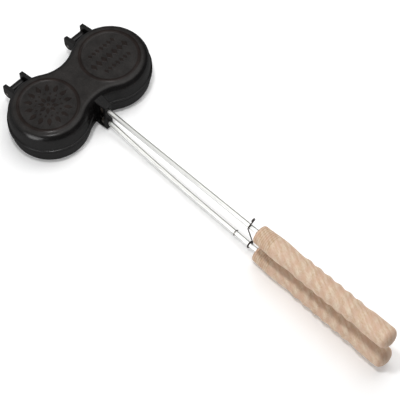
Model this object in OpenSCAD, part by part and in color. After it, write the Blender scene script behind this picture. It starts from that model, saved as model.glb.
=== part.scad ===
// Double burger iron: two hinged cast iron halves, each on its own steel rod with a turned beech handle.
// Lengths are millimetres. X runs along the hinge line, -Y towards the handles, +Z up.
// The origin is the middle of the lower casting's flat underside.

/* [Castings] */
// Distance from the middle of the iron to the centre of each round
round_offset = 65.5; // [60:0.5:75]
// Outer radius of each round at the rim
rim_r = 67.5; // [63:0.5:74]
// How far the sides of the waist lie inside the rounds
waist_in = 18.5; // [16:0.5:22]
// How deep the sides of the waist start inside the rounds, so that they cross cleanly
waist_lap = 0.1; // [0.05:0.05:0.2]
// Height of each half from its rim to its flat face
shell_h = 34; // [30:0.2:38]
// Gap between the two closed rims
rim_gap = 0.4; // [0.3:0.1:0.8]
// Height of the lip that runs round each rim
lip_h = 4.6; // [2:0.1:6]
// How far the lip stands out from the wall
lip_step = 1.8; // [0.8:0.1:2.5]
// Lean of the outer wall, in degrees
wall_draft = 5.5; // [3:0.5:9]
// Radius of the shoulder between wall and flat face
shoulder_r = 9; // [5:0.5:12]

/* [Cups] */
// Width of the rim round each cup
cup_wall = 6; // [5.5:0.1:8]
// Lean of the cup's wall, in degrees
cup_draft = 6; // [4:0.5:10]
// Thickness of metal under each cup
cup_floor = 4.4; // [4:0.1:7]
// Radius between the cup's wall and floor
cup_corner_r = 7; // [3:0.5:10]

/* [Raised rings] */
// Distance from the rim in to the ring's crest on each round of the top
ring_in = 20; // [17:0.5:24]
// Height of the ring over the flat face
ring_h = 1.1; // [0.6:0.1:2]
// Half the width of the ring at its foot
ring_half_w = 3.2; // [2:0.1:4]

/* [Hinges] */
// Distance from the rim to the hinge line
hinge_reach = 10.5; // [10:0.1:12]
// Height of the hinge line over the middle of the rim gap
hinge_rise = 2; // [0:0.5:4]
// Radius of the eyes of the ears
eye_r = 8.5; // [7:0.1:8.5]
// Radius of the knuckle's eye
knuckle_r = 7; // [6:0.1:8.5]
// Radius of the hinge pin
pin_r = 3; // [2.5:0.1:4]
// Running clearance of the pin in the knuckle, on the radius
pin_play = 0.06; // [0.02:0.01:0.1]
// Width of the knuckle
knuckle_w = 27; // [18:0.5:30]
// Thickness of each ear
ear_t = 6.5; // [4:0.5:8]
// Side gap between ear and knuckle
ear_gap = 0.6; // [0.3:0.1:1]
// Height of the ear's top edge over the rim gap where it leaves the shoulder
ear_top = 26.5; // [18:0.5:28]
// Height of the ear's top edge over the rim gap at its back end
ear_end_top = 18; // [12:0.5:22]

/* [Rod lugs] */
// Width of the lugs at their front
lug_w = 13; // [11:0.5:16]
// Width of the lugs where they leave the waist
lug_root_w = 20; // [16:0.5:24]
// How far the lugs stand out from the waist
lug_reach = 18; // [16.5:0.1:20]
// Height of each lug over the rim gap
lug_h = 29.5; // [27:0.5:31]
// Thickness of the lug's front plate
lug_plate_t = 6; // [4:0.5:7]
// Thickness of the plate that closes the lug above the pocket
lug_cap_t = 4; // [2.5:0.5:4.5]
// Depth of the nut pocket along the rod
pocket_d = 9; // [8.5:0.1:9.4]

/* [Rods] */
// Radius of the rods
rod_r = 4; // [3:0.25:4.5]
// Height of each rod over or under the rim gap where it leaves its lug
rod_level = 16.5; // [14.5:0.25:17.5]
// Distance from the lugs to the front of the handles, along the rods
rod_reach = 324; // [260:1:380]
// Length of rod inside each handle
rod_grip = 100; // [60:1:130]
// Radius of the short bend where a rod leaves its lug
rod_bend_r = 60; // [30:1:120]
// Rise of the upper rod, in degrees
upper_tilt = 4; // [2.5:0.1:5]
// Fall of the lower rod where it leaves its lug, in degrees
lower_dip = 4.3; // [3:0.1:5]
// Rise of the lower rod at the handle, in degrees
lower_tilt = 1.9; // [1:0.1:2.5]
// Length of the straight before the lower rod's long bow
lower_straight = 14; // [5:1:40]
// Length of the lower rod's long bow
lower_bow = 200; // [100:5:230]

/* [Nuts] */
// Width of the nuts across their flats
nut_af = 13; // [11:0.5:13]
// Thickness of the nuts
nut_t = 6.5; // [4:0.1:6.8]

/* [Handles] */
// Length of each handle
handle_len = 258; // [230:1:280]
// Radius of the handle at its front end
handle_front_r = 15.4; // [13:0.1:16]
// Radius of the smooth swell near the front
handle_swell_r = 17; // [15.5:0.1:18]
// Radius of the finger hollows
handle_hollow_r = 15.2; // [13.5:0.1:16]
// Radius of the ridges between the finger hollows
handle_ridge_r = 17; // [15.5:0.1:18]
// Radius of the plain part behind the hollows
handle_end_r = 17; // [15:0.1:18]
// Length of the rounded end
handle_dome = 11; // [6:0.5:16]
// Distance from the front to the first finger hollow
hollow_start = 78; // [70:1:90]
// Distance from one finger hollow to the next
hollow_pitch = 19.4; // [16:0.1:21]
// Number of finger hollows
hollow_count = 7; // [5:1:7]
// Distance from the front to the first turned line
line_start = 6; // [4:0.5:8]
// Distance from one turned line to the next
line_pitch = 4.5; // [3:0.1:5]
// Number of turned lines
line_count = 5; // [3:1:6]
// Depth of the turned lines
line_depth = 0.6; // [0.3:0.1:1]

/* [Latch] */
// Radius of the latch wire
wire_r = 1; // [0.8:0.1:1.4]
// Play of the latch's eye round the lower rod, on the radius
eye_play = 0.4; // [0.3:0.1:1]
// Gap between the hook and the upper rod
hook_gap = 0.5; // [0.3:0.1:1]
// Distance from the latch to the front of the lower handle
latch_back = 17; // [10:1:25]
// Rise of the straight that crosses the upper rod, in degrees
tip_rise = 25; // [10:1:35]
// Length of that straight
tip_len = 10; // [8:0.5:14]
// Radius of the curl at the tip
tip_r = 2.8; // [2.5:0.1:4]
// Turn of the curl at the tip, in degrees
tip_turn = 290; // [180:5:300]
// Radius of the stop wire
stop_wire_r = 0.8; // [0.6:0.1:1]
// Distance from the stop to the front of the lower handle
stop_back = 48; // [36:1:70]

/* [Hidden] */

IRON = "#2f2d2c";
STEEL = "#c9cacb";
BEECH = "#d8b996";
WIRE = "#3a332c";

// Small overlap that joins solids of one piece
sink = 0.5;
// Each bend of a bar runs this far into the straights beside it, and is this much thinner on the radius
bar_lap = 0.5;
bar_step = 0.04;
part_z = shell_h + rim_gap / 2;
waist_half = rim_r - waist_in;
blend_r = rim_r - waist_lap;
fillet_r = (pow(round_offset, 2) + pow(waist_half, 2) - pow(blend_r, 2)) / (2 * (blend_r - waist_half));
fillet_y = waist_half + fillet_r;
hinge_y = rim_r + hinge_reach;
hinge_z = part_z + hinge_rise;
hinge_half_w = knuckle_w / 2 + ear_gap + ear_t;
lug_front = waist_half + lug_reach;
plate_back = lug_front - lug_plate_t;
pocket_back = plate_back - pocket_d;

// Profile of the outer wall as [inset from the rim, height over the rim]
wall_foot = lip_h + lip_step;
wall_rise = shell_h - shoulder_r + shoulder_r * sin(wall_draft) - wall_foot;
shoulder_in = lip_step + wall_rise * tan(wall_draft) + shoulder_r * cos(wall_draft);
shoulder_steps = 8;
wall_profile = concat(
    [[0, 0], [0, lip_h], [lip_step, wall_foot]],
    [for (i = [0:shoulder_steps])
        let (a = wall_draft + (90 - wall_draft) * i / shoulder_steps)
        [shoulder_in - shoulder_r * cos(a), shell_h - shoulder_r + shoulder_r * sin(a)]]);

// Profile of a cup as [radius, depth under the rim]
cup_r = rim_r - cup_wall;
cup_depth = shell_h - cup_floor;
cup_fall = cup_depth - cup_corner_r + cup_corner_r * sin(cup_draft);
cup_corner_x = cup_r - cup_fall * tan(cup_draft) - cup_corner_r * cos(cup_draft);
cup_steps = 6;
cup_profile = concat(
    [[0, -1], [cup_r + tan(cup_draft), -1]],
    [for (i = [0:cup_steps])
        let (a = cup_draft + (90 - cup_draft) * i / cup_steps)
        [cup_corner_x + cup_corner_r * cos(a), cup_depth - cup_corner_r + cup_corner_r * sin(a)]],
    [[0, cup_depth]]);

// A rod's route starts inside its lug. Each step is [length, turn in degrees]; a turn upwards is positive.
rod_start = plate_back - nut_t - 1.5;
stub_len = lug_front - rod_start + 1;
function arc_len(r, a) = PI * r * a / 180;
upper_route = [
    [stub_len, 0],
    [arc_len(rod_bend_r, upper_tilt), upper_tilt],
    [rod_reach - arc_len(rod_bend_r, upper_tilt) + rod_grip, 0]];
lower_route = [
    [stub_len, 0],
    [arc_len(rod_bend_r, lower_dip), -lower_dip],
    [lower_straight, 0],
    [lower_bow, lower_dip + lower_tilt],
    [rod_reach - arc_len(rod_bend_r, lower_dip) - lower_straight - lower_bow + rod_grip, 0]];

// Place and heading [y, z, degrees] after one step of a route, on plain distances from the lug
function after(p, leg) =
    leg[1] == 0
    ? [p[0] + leg[0] * cos(p[2]), p[1] + leg[0] * sin(p[2]), p[2]]
    : let (r = leg[0] * 180 / (PI * leg[1]))
      [p[0] + r * (sin(p[2] + leg[1]) - sin(p[2])), p[1] - r * (cos(p[2] + leg[1]) - cos(p[2])), p[2] + leg[1]];
function route_end(p, route, n, i = 0) = i == n ? p : route_end(after(p, route[i]), route, n, i + 1);
// Place and heading on the last straight of a route, at a distance from its far end
function from_end(start, route, back) =
    let (p = route_end(start, route, len(route)))
    [p[0] - back * cos(p[2]), p[1] - back * sin(p[2]), p[2]];

upper_start = [rod_start, part_z + rod_level, 0];
lower_start = [rod_start, part_z - rod_level, 0];
upper_grip = from_end(upper_start, upper_route, rod_grip);
lower_grip = from_end(lower_start, lower_route, rod_grip);
latch_seat = from_end(lower_start, lower_route, rod_grip + latch_back);
stop_seat = from_end(lower_start, lower_route, rod_grip + stop_back);
// Distance from the lower rod's axis up to the upper rod's axis at the latch
upper_at_latch = upper_grip[1] - (upper_grip[0] - latch_seat[0]) * tan(upper_tilt);
latch_reach = (upper_at_latch - latch_seat[1]) * cos(lower_tilt);

// Radius of the turned handle at a distance from its front end
hollow_end = hollow_start + (hollow_count - 1) * hollow_pitch;
swell_at = hollow_start * 0.55;
handle_chamfer = 2;
function ease(a, b, t) = a + (b - a) * (1 - cos(180 * t)) / 2;
function handle_r(s) =
    s < swell_at ? ease(handle_front_r, handle_swell_r, s / swell_at)
    : s < hollow_start ? ease(handle_swell_r, handle_hollow_r, (s - swell_at) / (hollow_start - swell_at))
    : s < hollow_end
        ? handle_hollow_r + (handle_ridge_r - handle_hollow_r) * (1 - cos(360 * (s - hollow_start) / hollow_pitch)) / 2
    : s < hollow_end + hollow_pitch ? ease(handle_hollow_r, handle_end_r, (s - hollow_end) / hollow_pitch)
    : handle_end_r;
hollow_steps = 8;
dome_steps = 7;
line_half_w = 0.7;
line_end = line_start + (line_count - 1) * line_pitch;
handle_profile = concat(
    [[0, 0], [handle_r(0) - handle_chamfer, 0], [handle_r(handle_chamfer), handle_chamfer]],
    [for (i = [0:line_count - 1], k = [-1:1])
        let (s = line_start + i * line_pitch + k * line_half_w)
        [handle_r(s) - (k == 0 ? line_depth : 0), s]],
    [for (s = [line_end + 4:5:hollow_start - 3]) [handle_r(s), s]],
    [for (i = [0:(hollow_count - 1) * hollow_steps])
        let (s = hollow_start + i * hollow_pitch / hollow_steps)
        [handle_r(s), s]],
    [for (i = [1:4]) let (s = hollow_end + i * hollow_pitch / 4) [handle_r(s), s]],
    [for (i = [0:dome_steps])
        let (a = 90 * i / dome_steps)
        [handle_end_r * cos(a), handle_len - handle_dome + handle_dome * sin(a)]]);

// Puts a shape drawn as (y, z) across the iron, centred on x
module across(w) {
    rotate([90, 0, 90])
        translate([0, 0, -w / 2])
            linear_extrude(w)
                children();
}

// One outer body with its rim at z = 0 and its flat face at the top
module casting_body() {
    for (side = [-1, 1])
        translate([side * round_offset, 0, 0])
            rotate_extrude($fn = 96)
                polygon(concat([[0, 0]], [for (p = wall_profile) [rim_r - p[0], p[1]]], [[0, shell_h]]));
    difference() {
        linear_extrude(shell_h)
            polygon([[round_offset, 0], [0, fillet_y], [-round_offset, 0], [0, -fillet_y]]);
        for (side = [-1, 1])
            translate([0, side * fillet_y, 0])
                rotate_extrude($fn = 96)
                    polygon(concat(
                        [[0, -1], [fillet_r, -1]],
                        [for (p = wall_profile) [fillet_r + p[0], p[1]]],
                        [[fillet_r + shoulder_in, shell_h + 1], [0, shell_h + 1]]));
    }
}

module cups() {
    for (side = [-1, 1])
        translate([side * round_offset, 0, 0])
            rotate_extrude($fn = 96)
                polygon(cup_profile);
}

// Half of the waist lug, over a rim at z = 0, with its nut pocket open to both sides and to the rim
module lug() {
    rear = waist_half - shoulder_in;
    tip = lug_w / 2;
    root = lug_root_w / 2;
    difference() {
        linear_extrude(lug_h)
            polygon([[-tip, -lug_front], [tip, -lug_front], [root, -waist_half], [root, -rear], [-root, -rear],
                [-root, -waist_half]]);
        translate([-root - 1, -plate_back, -1])
            cube([lug_root_w + 2, pocket_d, lug_h - lug_cap_t + 1]);
        translate([0, 0, rod_level - rim_gap / 2])
            rotate([90, 0, 0])
                translate([0, 0, plate_back - 1])
                    cylinder(h = lug_plate_t + 2, r = rod_r, $fn = 48);
    }
}

module ring_bead() {
    ring_r = rim_r - ring_in;
    bead_r = (pow(ring_h, 2) + pow(ring_half_w, 2)) / (2 * ring_h);
    for (side = [-1, 1])
        translate([side * round_offset, 0, shell_h])
            rotate_extrude($fn = 96)
                intersection() {
                    translate([ring_r, ring_h - bead_r])
                        circle(bead_r, $fn = 96);
                    translate([ring_r - ring_half_w - 1, -sink])
                        square([2 * ring_half_w + 2, ring_h + 2 * sink]);
                }
}

// Side view of an ear, from inside the upper wall to the eye round the pin
module ear_outline() {
    root_y = rim_r - shoulder_in;
    translate([hinge_y, hinge_z])
        circle(eye_r, $fn = 64);
    polygon([
        [root_y, part_z + rim_gap],
        [root_y, part_z + ear_top],
        [hinge_y + eye_r - 1.5, part_z + ear_end_top],
        [hinge_y + eye_r, part_z + ear_end_top - 2.5],
        [hinge_y + eye_r, hinge_z],
        [hinge_y, hinge_z],
        [hinge_y - eye_r * 0.85, part_z + rim_gap]]);
}

// Side view of the knuckle and its arm, from inside the lower wall
module knuckle_outline() {
    root_y = rim_r - shoulder_in;
    translate([hinge_y, hinge_z])
        circle(knuckle_r, $fn = 64);
    polygon([
        [root_y, part_z - 1.2],
        [hinge_y - knuckle_r, part_z - 1.2],
        [hinge_y, hinge_z],
        [hinge_y + knuckle_r * sin(30), hinge_z - knuckle_r * cos(30)],
        [root_y, part_z - shell_h * 0.62]]);
}

// Straight hole along the hinge line
module hinge_bore(r) {
    translate([0, hinge_y, hinge_z])
        rotate([0, 90, 0])
            cylinder(h = 2 * (round_offset + hinge_half_w), r = r, center = true, $fn = 48);
}

module lower_shell() {
    color(IRON)
        difference() {
            union() {
                translate([0, 0, shell_h])
                    mirror([0, 0, 1]) {
                        casting_body();
                        lug();
                    }
                for (side = [-1, 1])
                    translate([side * round_offset, 0, 0])
                        across(knuckle_w)
                            knuckle_outline();
            }
            translate([0, 0, shell_h])
                mirror([0, 0, 1])
                    cups();
            hinge_bore(pin_r + pin_play);
        }
}

module upper_shell() {
    ear_x = knuckle_w / 2 + ear_gap + ear_t / 2;
    color(IRON)
        difference() {
            union() {
                translate([0, 0, shell_h + rim_gap]) {
                    casting_body();
                    lug();
                    ring_bead();
                }
                for (side = [-1, 1], end = [-1, 1])
                    translate([side * round_offset + end * ear_x, 0, 0])
                        across(ear_t)
                            ear_outline();
            }
            translate([0, 0, shell_h + rim_gap])
                cups();
            hinge_bore(pin_r);
        }
}

module hinge_pins() {
    color(STEEL)
        for (side = [-1, 1])
            translate([side * round_offset, hinge_y, hinge_z])
                rotate([0, 90, 0])
                    cylinder(h = 2 * hinge_half_w, r = pin_r, center = true, $fn = 48);
}

// Carries a shape to a place and heading; its x then runs along the rod, its y upwards
module at(p) {
    rotate([90, 0, -90])
        translate([p[0], p[1], 0])
            rotate([0, 0, p[2]])
                children();
}

// Turns a shape drawn along z so that it runs along the rod
module along() {
    rotate([0, 90, 0])
        children();
}

// One leg of bent round bar in the xy plane, from the origin along x
module bar_leg(leg, r) {
    if (leg[1] == 0) {
        along()
            cylinder(h = leg[0], r = r, $fn = 48);
    } else {
        bend = leg[0] * 180 / (PI * abs(leg[1]));
        lap = bar_lap * 180 / (PI * bend);
        mirror([0, leg[1] > 0 ? 0 : 1, 0])
            translate([0, bend, 0])
                rotate([0, 0, -90 - lap])
                    rotate_extrude(angle = abs(leg[1]) + 2 * lap, $fn = 96)
                        translate([bend, 0])
                            circle(r - bar_step, $fn = 48);
    }
}

// Bent round bar in the xy plane that follows a route from a starting place and heading
module bar(start, route, r) {
    for (i = [0:len(route) - 1]) {
        p = route_end(start, route, i);
        translate([p[0], p[1], 0])
            rotate([0, 0, p[2]])
                bar_leg(route[i], r);
    }
}

module rod(start, route) {
    color(STEEL)
        at([0, 0, 0])
            bar(start, route, rod_r);
}

module lower_rod() {
    rod(lower_start, lower_route);
}

module upper_rod() {
    rod(upper_start, upper_route);
}

// Hexagon nut against the inside of the lug's front plate, with two of its flats upright
module nut(level) {
    color(STEEL)
        at([plate_back - nut_t, level, 0])
            along()
                difference() {
                    rotate([0, 0, 30])
                        cylinder(h = nut_t, r = nut_af / 2 / cos(30), $fn = 6);
                    translate([0, 0, -1])
                        cylinder(h = nut_t + 2, r = rod_r, $fn = 48);
                }
}

module lower_rod_nut() {
    nut(part_z - rod_level);
}

module upper_rod_nut() {
    nut(part_z + rod_level);
}

// Turned handle with a blind hole for its rod
module handle(grip) {
    color(BEECH)
        at(grip)
            along()
                difference() {
                    rotate_extrude($fn = 96)
                        polygon(handle_profile);
                    translate([0, 0, -1])
                        cylinder(h = rod_grip + 3, r = rod_r, $fn = 48);
                }
}

module lower_handle() {
    handle(lower_grip);
}

module upper_handle() {
    handle(upper_grip);
}

module latch_hook() {
    eye = rod_r + eye_play + wire_r;
    over = rod_r + hook_gap + wire_r;
    lean = asin((eye + over) / latch_reach);
    eye_turn = 300;
    start_angle = lean - eye_turn;
    color(WIRE)
        at(latch_seat)
            along()
                bar([eye * cos(start_angle), eye * sin(start_angle), start_angle + 90],
                    [[arc_len(eye, eye_turn), eye_turn],
                        [latch_reach * cos(lean), 0],
                        [arc_len(over, 90 + lean - tip_rise), tip_rise - 90 - lean],
                        [tip_len, 0],
                        [arc_len(tip_r, tip_turn), tip_turn]],
                    wire_r);
}

module latch_stop() {
    eye = rod_r + stop_wire_r;
    color(WIRE)
        at(stop_seat)
            along()
                bar([eye, 0, 90], [[arc_len(eye, 360), 360]], stop_wire_r);
}

lower_shell();
upper_shell();
hinge_pins();
lower_rod();
upper_rod();
lower_rod_nut();
upper_rod_nut();
lower_handle();
upper_handle();
latch_hook();
latch_stop();
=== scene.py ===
import math

import bmesh
import bpy
from bpy.props import FloatProperty, FloatVectorProperty, IntProperty, PointerProperty
from bpy.types import Operator, Panel, PropertyGroup
from mathutils import Matrix, Vector


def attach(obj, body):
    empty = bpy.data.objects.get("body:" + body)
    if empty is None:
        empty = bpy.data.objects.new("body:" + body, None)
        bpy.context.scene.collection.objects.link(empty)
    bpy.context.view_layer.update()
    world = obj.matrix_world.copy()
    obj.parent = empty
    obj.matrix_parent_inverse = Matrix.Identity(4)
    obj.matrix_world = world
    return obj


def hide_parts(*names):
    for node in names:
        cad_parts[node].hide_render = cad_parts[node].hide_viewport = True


bl_info = {
    "name": "Double burger iron",
    "version": (1, 0, 0),
    "blender": (4, 5, 0),
    "location": "View3D > Sidebar > Burger iron",
    "description": "Builds a hinged double burger iron round its packed frame",
    "category": "Object",
}

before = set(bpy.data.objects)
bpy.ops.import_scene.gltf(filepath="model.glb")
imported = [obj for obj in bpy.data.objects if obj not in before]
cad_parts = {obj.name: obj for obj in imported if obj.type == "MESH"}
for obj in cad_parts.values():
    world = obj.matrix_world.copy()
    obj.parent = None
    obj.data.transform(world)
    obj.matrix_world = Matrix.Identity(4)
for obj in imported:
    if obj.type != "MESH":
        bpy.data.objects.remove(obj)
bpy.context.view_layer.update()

MM = 0.001
KNUCKLE_DROP = 1.2 * MM


def linear(code):
    """Turns an sRGB hex colour into the linear values that Blender works in."""
    parts = [int(code[i:i + 2], 16) / 255 for i in (1, 3, 5)]
    return tuple(c / 12.92 if c <= 0.04045 else ((c + 0.055) / 1.055) ** 2.4 for c in parts)


def length(name, text, value):
    """A size that a user can change, in metres."""
    return FloatProperty(name=name, description=text, default=value * MM, unit="LENGTH", subtype="DISTANCE", precision=5)


def turn(name, text, value):
    """An angle that a user can change."""
    return FloatProperty(name=name, description=text, default=math.radians(value), unit="ROTATION", subtype="ANGLE")


def tint(name, text, code):
    """A colour that a user can change."""
    return FloatVectorProperty(name=name, description=text, default=linear(code), subtype="COLOR", min=0, max=1)


class CastingSizes(PropertyGroup):
    round_offset: length("Round offset", "Middle of the iron to the centre of each round", 65.5)
    rim_r: length("Rim radius", "Outer radius of each round at the rim", 67.5)
    waist_half: length("Waist", "Half the width of the waist at the rim", 49)
    shell_h: length("Half height", "Height of each half from its rim to its flat face", 34)
    rim_gap: length("Rim gap", "Gap between the two closed rims", 0.4)
    lip_h: length("Lip height", "Height of the lip round each rim", 4.6)
    lip_step: length("Lip step", "How far the lip stands out from the wall", 1.8)
    wall_draft: turn("Wall draft", "Lean of the outer wall", 5.5)
    shoulder_r: length("Shoulder height", "Height of the rounding between the wall and the flat face", 14)
    shoulder_w: length("Shoulder width", "Width of the same rounding", 13)
    cup_r: length("Cup radius", "Radius of each cup at the rim", 61.5)
    cup_draft: turn("Cup draft", "Lean of the cup's wall", 6)
    cup_floor: length("Cup floor", "Thickness of metal under each cup", 4.4)
    cup_corner_r: length("Cup corner", "Radius between the cup's wall and floor", 7)
    ring_r: length("Ring radius", "Radius of the raised ring on each round", 47.5)
    ring_h: length("Ring height", "Height of the raised ring", 1.1)
    ring_half_w: length("Ring half width", "Half the width of the raised ring at its foot", 3.2)


class HingeSizes(PropertyGroup):
    reach: length("Hinge reach", "Rim to the hinge line", 10.5)
    rise: length("Hinge rise", "Hinge line over the rim gap", 2)
    eye_r: length("Ear eye", "Radius of the ears' eyes", 8.5)
    knuckle_r: length("Knuckle eye", "Radius of the knuckles' eyes", 7)
    pin_r: length("Pin radius", "Radius of the hinge pins", 3)
    knuckle_w: length("Knuckle width", "Width of each knuckle", 27)
    ear_t: length("Ear thickness", "Thickness of each ear", 6.5)
    ear_gap: length("Ear gap", "Side gap between ear and knuckle", 0.6)
    ear_top: length("Ear top", "Height of the ear's top edge at the shoulder", 26.5)
    ear_end_top: length("Ear end", "Height of the ear's top edge at its back end", 18)


class RodSizes(PropertyGroup):
    lug_w: length("Lug width", "Width of the lugs at their front", 13)
    lug_root_w: length("Lug root", "Width of the lugs where they leave the waist", 17)
    lug_front: length("Lug front", "Middle of the iron to the lug's front face", 67)
    lug_h: length("Lug height", "Height of each lug over the rim gap", 29.5)
    plate_t: length("Lug plate", "Thickness of the lug's front plate", 6)
    cap_t: length("Lug cap", "Thickness of the plate over the nut pocket", 4)
    pocket_d: length("Nut pocket", "Depth of the nut pocket along the rod", 9)
    rod_r: length("Rod radius", "Radius of the rods", 4)
    level: length("Rod level", "Height of each rod over or under the rim gap at its lug", 16.5)
    reach: length("Rod reach", "Lug to the front of the handle along the rod", 324)
    grip: length("Rod grip", "Length of rod inside each handle", 100)
    bend_r: length("Rod bend", "Radius of the short bend outside the lug", 60)
    upper_tilt: turn("Upper tilt", "Rise of the upper rod", 4)
    lower_dip: turn("Lower dip", "Fall of the lower rod where it leaves its lug", 4.3)
    lower_tilt: turn("Lower tilt", "Rise of the lower rod at its handle", 1.9)
    lower_straight: length("Lower straight", "Straight before the lower rod's long bow", 14)
    lower_bow: length("Lower bow", "Length of the lower rod's long bow", 200)
    nut_af: length("Nut width", "Width of the nuts across their flats", 13)
    nut_t: length("Nut thickness", "Thickness of the nuts", 6.5)


class HandleSizes(PropertyGroup):
    overall: length("Handle length", "Length of each handle", 258)
    front_r: length("Front radius", "Radius at the front end", 15.4)
    swell_r: length("Swell radius", "Radius of the smooth swell near the front", 17)
    hollow_r: length("Hollow radius", "Radius of the finger hollows", 15.2)
    ridge_r: length("Ridge radius", "Radius of the ridges between the hollows", 17)
    end_r: length("End radius", "Radius of the plain part behind the hollows", 17)
    dome: length("Dome", "Length of the rounded end", 11)
    hollow_start: length("First hollow", "Front to the first finger hollow", 78)
    hollow_pitch: length("Hollow pitch", "One finger hollow to the next", 19.4)
    hollow_count: IntProperty(name="Hollows", description="Number of finger hollows", default=7, min=5, max=7)
    line_start: length("First line", "Front to the first turned line", 5)
    line_pitch: length("Line pitch", "One turned line to the next", 3.6)
    line_count: IntProperty(name="Lines", description="Number of turned lines", default=8, min=3, max=8)
    line_depth: length("Line depth", "Depth of the turned lines", 0.6)


class LatchSizes(PropertyGroup):
    wire_r: length("Wire radius", "Radius of the latch wire", 1)
    eye_play: length("Eye play", "Play of the latch's eye round the lower rod", 0.4)
    hook_gap: length("Hook gap", "Gap between the hook and the upper rod", 0.5)
    back: length("Latch place", "Latch to the front of the lower handle", 17)
    tip_rise: turn("Tip rise", "Rise of the straight that crosses the upper rod", 25)
    tip_len: length("Tip length", "Length of that straight", 10)
    tip_r: length("Tip radius", "Radius of the curl at the tip", 2.8)
    tip_turn: turn("Tip turn", "Turn of the curl at the tip", 290)
    stop_wire_r: length("Stop wire", "Radius of the stop wire", 0.8)
    stop_back: length("Stop place", "Stop to the front of the lower handle", 48)


class Finishes(PropertyGroup):
    # The darker wall colour and the lighter flat-face colour are partly the real thick oil and rubbed skin, and partly
    # painted shade on the walls and shoulders and painted light on the flat faces
    iron_wall_oil_and_shade: tint("Iron, walls", "Seasoned cast iron where the oil is thick", "#100f0f")
    iron_flat_rubbed_and_lit: tint("Iron, flat faces", "Seasoned cast iron where the skin is rubbed dull", "#2b2928")
    iron_raised: tint("Iron, raised", "Worn brown skin on the rings and ornaments", "#1f1714")
    beech_light: tint("Beech, light", "Early wood of the handles", "#e0d0bb")
    beech_dark: tint("Beech, dark", "Late wood of the handles", "#c2a081")
    # This pink colours the real pink patches and also the painted shade in the finger hollows
    beech_pink: tint("Beech, pink", "Patches that the steaming turned pink", "#cda891")
    # This dark colour is the rays' own colour, and in the turned lines it is painted shade
    beech_groove: tint("Beech groove", "Wood darkened in the turned lines and rays", "#9c7757")
    steel: tint("Steel", "Polished stainless rods and pins", "#cfcfcc")
    wire: tint("Latch wire", "Blackened spring wire", "#3b322b")
    stop: tint("Stop wire", "Dull grey wire of the stop", "#7d7975")
    floor: tint("Floor", "Plain floor under the iron", "#fbfbfb")


# Selecting and shaping in edit mode

def activate(obj):
    """Makes one object the only selected and active one."""
    bpy.ops.object.select_all(action="DESELECT")
    obj.select_set(True)
    bpy.context.view_layer.objects.active = obj


def start_editing(obj, mode="FACE"):
    activate(obj)
    bpy.ops.object.mode_set(mode="EDIT")
    bpy.ops.mesh.select_mode(type=mode)
    bpy.ops.mesh.select_all(action="DESELECT")


def stop_editing():
    bpy.ops.object.mode_set(mode="OBJECT")


def pick(obj, test, kind="faces"):
    """Selects the faces, edges or vertices that pass a test, in edit mode."""
    mesh = bmesh.from_edit_mesh(obj.data)
    bpy.ops.mesh.select_all(action="DESELECT")
    found = 0
    for part in getattr(mesh, kind):
        if test(part):
            part.select_set(True)
            found += 1
    mesh.select_flush_mode()
    bmesh.update_edit_mesh(obj.data)
    if not found:
        raise RuntimeError("nothing to select on " + obj.name)


def settle(obj, angle=35):
    """Applies the object's place, closes its mesh and shades it."""
    activate(obj)
    bpy.ops.object.transform_apply(location=True, rotation=True, scale=True)
    bpy.ops.object.mode_set(mode="EDIT")
    bpy.ops.mesh.select_all(action="SELECT")
    bpy.ops.mesh.remove_doubles(threshold=0.002 * MM)
    bpy.ops.mesh.normals_make_consistent(inside=False)
    stop_editing()
    bpy.ops.object.shade_smooth_by_angle(angle=math.radians(angle))
    return obj


def level_faces(obj):
    """Shades the large flat faces flat up to their rounded edges."""
    step = obj.modifiers.new("weigh", "WEIGHTED_NORMAL")
    step.mode = "FACE_AREA"
    step.weight = 100
    step.keep_sharp = True
    finish_modifiers(obj)


def finish_modifiers(obj):
    activate(obj)
    for name in [m.name for m in obj.modifiers]:
        bpy.ops.object.modifier_apply(modifier=name)


def combine(obj, other, operation):
    """Joins or cuts with another solid, which is used up."""
    step = obj.modifiers.new(operation.lower(), "BOOLEAN")
    step.operation = operation
    step.solver = "EXACT"
    step.object = other
    finish_modifiers(obj)
    mesh = other.data
    bpy.data.objects.remove(other)
    bpy.data.meshes.remove(mesh)


def merge(pieces, name):
    """Joins several objects into one."""
    activate(pieces[0])
    for piece in pieces[1:]:
        piece.select_set(True)
    bpy.ops.object.join()
    pieces[0].name = name
    pieces[0].data.name = name
    return pieces[0]


def plate(name, outline, matrix, thickness):
    """A flat plate with the outline given in its own plane, standing on that plane."""
    bpy.ops.mesh.primitive_circle_add(vertices=len(outline), radius=10 * MM, fill_type="NGON")
    obj = bpy.context.active_object
    obj.name = name
    for vertex, (x, y) in zip(obj.data.vertices, outline):
        vertex.co = (x, y, 0)
    start_editing(obj)
    bpy.ops.mesh.select_all(action="SELECT")
    bpy.ops.mesh.extrude_region_move(TRANSFORM_OT_translate={"value": (0, 0, thickness)})
    stop_editing()
    obj.matrix_world = matrix
    activate(obj)
    bpy.ops.object.transform_apply(location=True, rotation=True, scale=True)
    bpy.ops.object.mode_set(mode="EDIT")
    bpy.ops.mesh.select_all(action="SELECT")
    bpy.ops.mesh.normals_make_consistent(inside=False)
    stop_editing()
    return obj


def soften(obj, width, angle=30, steps=3):
    """Rounds every edge that is sharper than an angle."""
    bevel = obj.modifiers.new("round", "BEVEL")
    bevel.width = width
    bevel.segments = steps
    bevel.limit_method = "ANGLE"
    bevel.angle_limit = math.radians(angle)
    finish_modifiers(obj)


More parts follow.
